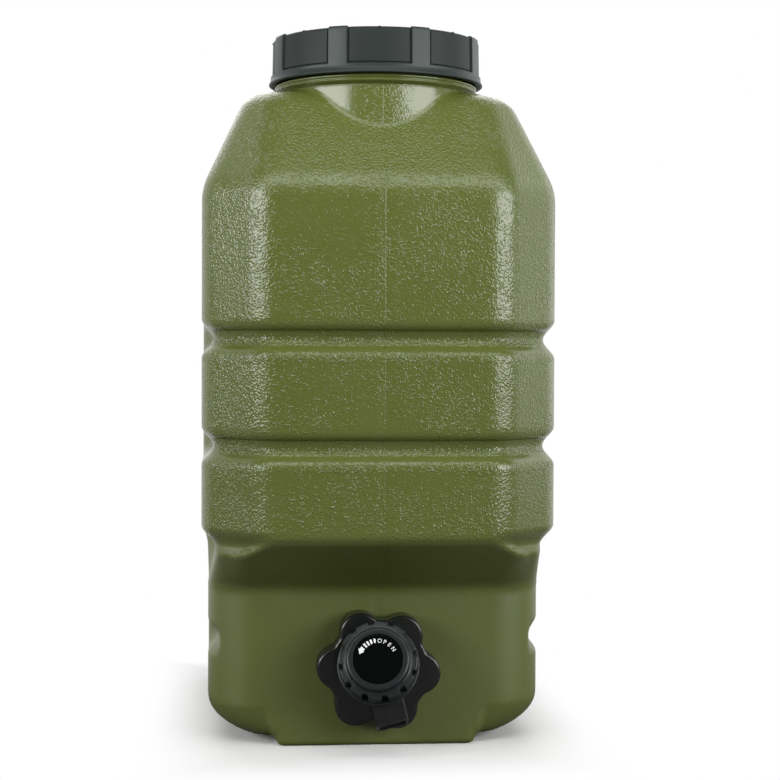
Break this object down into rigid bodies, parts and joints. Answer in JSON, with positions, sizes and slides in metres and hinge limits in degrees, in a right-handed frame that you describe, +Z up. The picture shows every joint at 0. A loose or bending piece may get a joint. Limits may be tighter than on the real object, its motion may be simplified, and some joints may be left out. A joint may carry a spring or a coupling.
{
  "type": "jerrycan with tap",
  "caption": "Upright plastic water carrier with chamfered corners, grooved walls, a wide ribbed screw lid, a moulded handle behind it and a tap with a turning knob low on the front.",
  "frame": {"origin": "centre of the footprint of the bounding box, on the surface the carrier stands on", "axes": "+Z up, the tap faces -Y, +X to the right seen from the front"},
  "size_m": [0.19, 0.29, 0.3852],
  "materials": {
    "olive_plastic": "satin, fine pebble grain",
    "charcoal_plastic": "satin",
    "black_plastic": "satin",
    "grey_plastic": "satin",
    "gloss_black_plastic": "gloss",
    "white_plastic": "natural",
    "black_rubber": "matte",
    "screw_steel": "zinc plated"
  },
  "bodies": {
    "tank": {"tank_body": "olive_plastic"},
    "lid_carrier": {"lid_gasket": "black_rubber"},
    "lid": {"lid": "charcoal_plastic"},
    "tap_carrier": {"tap_gasket": "black_rubber"},
    "nut": {"tap_nut": "black_plastic"},
    "tap": {"tap_body": "black_plastic"},
    "plug": {"valve_seal": "black_rubber"},
    "knob": {"tap_knob": "grey_plastic", "knob_disc": "gloss_black_plastic", "knob_screw": "screw_steel", "valve_stem": "white_plastic", "stem_o_ring_rear": "black_rubber", "stem_o_ring_front": "black_rubber"}
  },
  "joints": [
    {"name": "lid_rise", "type": "slide", "parent": "tank", "child": "lid_carrier", "axis": [0, 0, 1], "range_m": [0, 0.0101]},
    {"name": "lid_turn", "type": "hinge", "parent": "lid_carrier", "child": "lid", "pos_m": [0, -0.073, 0.372], "axis": [0, 0, 1], "range_deg": [0, 450]},
    {"name": "tap_advance", "type": "slide", "parent": "tank", "child": "tap_carrier", "axis": [0, -1, 0], "range_m": [0, 0.0061]},
    {"name": "nut_turn", "type": "hinge", "parent": "tap_carrier", "child": "nut", "pos_m": [0, -0.1035, 0.0436], "axis": [0, -1, 0], "range_deg": [0, 540]},
    {"name": "tap_swivel", "type": "hinge", "parent": "tap_carrier", "child": "tap", "pos_m": [0, -0.1035, 0.0436], "axis": [0, -1, 0], "range_deg": [-45, 45]},
    {"name": "stem_travel", "type": "slide", "parent": "tap", "child": "plug", "axis": [-0.0906, -0.9272, 0.3635], "range_m": [0, 0.0031]},
    {"name": "knob_turn", "type": "hinge", "parent": "plug", "child": "knob", "pos_m": [0, -0.1095, 0.0436], "axis": [-0.0906, -0.9272, 0.3635], "range_deg": [0, 270]}
  ],
  "couplings": [
    {"joint": "lid_rise", "follows": "lid_turn", "m_per_rad": 0.0012732},
    {"joint": "tap_advance", "follows": "nut_turn", "m_per_rad": 0.00063662},
    {"joint": "stem_travel", "follows": "knob_turn", "m_per_rad": 0.00063662}
  ]
}
